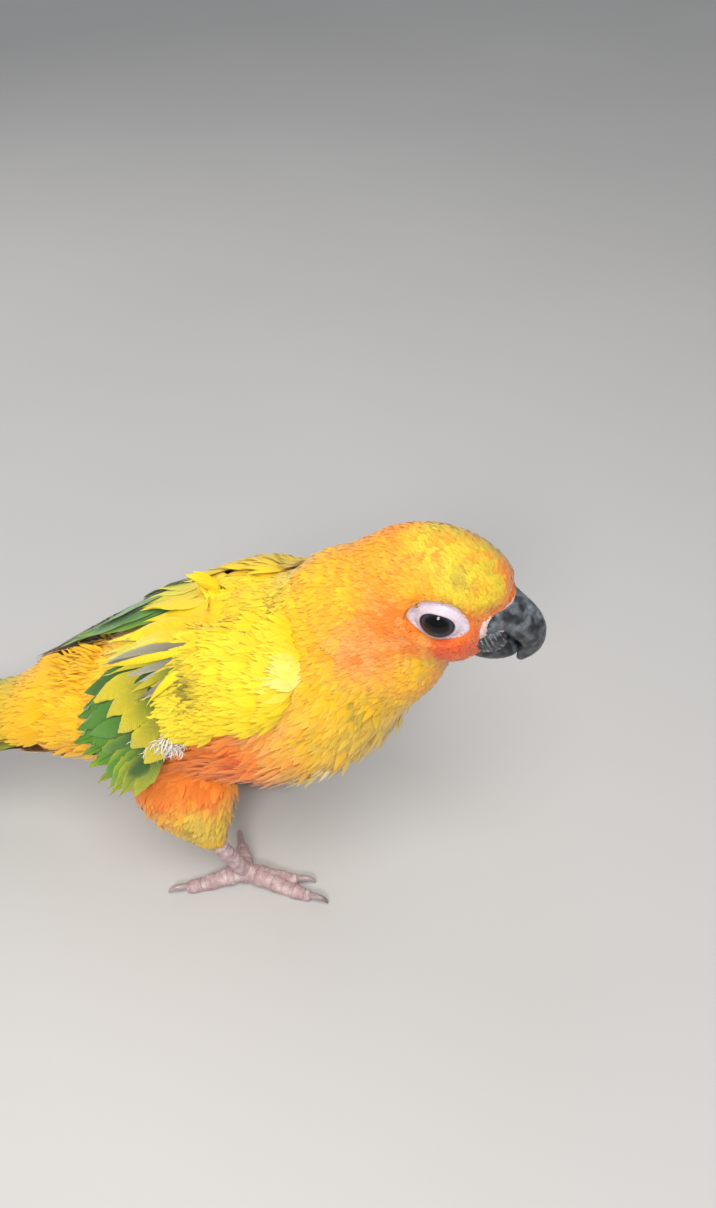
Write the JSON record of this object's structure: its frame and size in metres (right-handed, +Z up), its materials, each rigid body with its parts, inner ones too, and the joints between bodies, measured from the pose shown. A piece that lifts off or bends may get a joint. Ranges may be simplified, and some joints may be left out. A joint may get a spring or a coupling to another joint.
{
  "type": "sun conure model",
  "caption": "Life-size still model of a small parrot standing on both feet, leaning forward, with a hooked bill, bare eye rings, folded short wings and a long tail.",
  "frame": {"origin": "on the floor under the middle of the bird's box", "axes": "+X ahead of the bird, +Y to its left, +Z up; the longest extent lies along X"},
  "size_m": [0.2635, 0.0588, 0.1316],
  "materials": {
    "crown_feathers": "soft small overlapping feathers, yellow crown with orange cheeks and forehead",
    "neck_feathers": "soft overlapping feathers, orange yellow",
    "breast_feathers": "soft overlapping feathers, golden yellow above and orange on the flanks",
    "rump_feathers": "soft long overlapping feathers, golden yellow",
    "tail_feathers": "long smooth vanes, olive green at the base and blue at the tips",
    "wing_feathers": "smooth overlapping vanes, bright yellow coverts, green flight feathers",
    "thigh_feathers": "soft short feathers, orange above and olive yellow at the heel",
    "foot_skin": "dull pinkish grey skin with small scales",
    "bill": "dark grey horn, satin, with paler scuffed patches",
    "cere": "bare whitish skin, fine wrinkles",
    "eye": "dark brown, wet and glossy",
    "eye_ring": "bare whitish skin with fine wrinkles",
    "claw": "grey horn, satin, paler at the tip"
  },
  "bodies": {
    "root": {"bill_lower": "bill", "bill_upper": "bill", "cere": "cere", "claw_left_1": "claw", "claw_left_2": "claw", "claw_left_3": "claw", "claw_left_4": "claw", "claw_right_1": "claw", "claw_right_2": "claw", "claw_right_3": "claw", "claw_right_4": "claw", "eye_left": "eye", "eye_right": "eye", "eye_ring_left": "eye_ring", "eye_ring_right": "eye_ring", "foot_left": "foot_skin", "foot_right": "foot_skin", "head": "crown_feathers", "neck": "neck_feathers", "rump": "rump_feathers", "tail": "tail_feathers", "thigh_left": "thigh_feathers", "thigh_right": "thigh_feathers", "torso": "breast_feathers", "wing_left": "wing_feathers", "wing_right": "wing_feathers"}
  },
  "joints": []
}
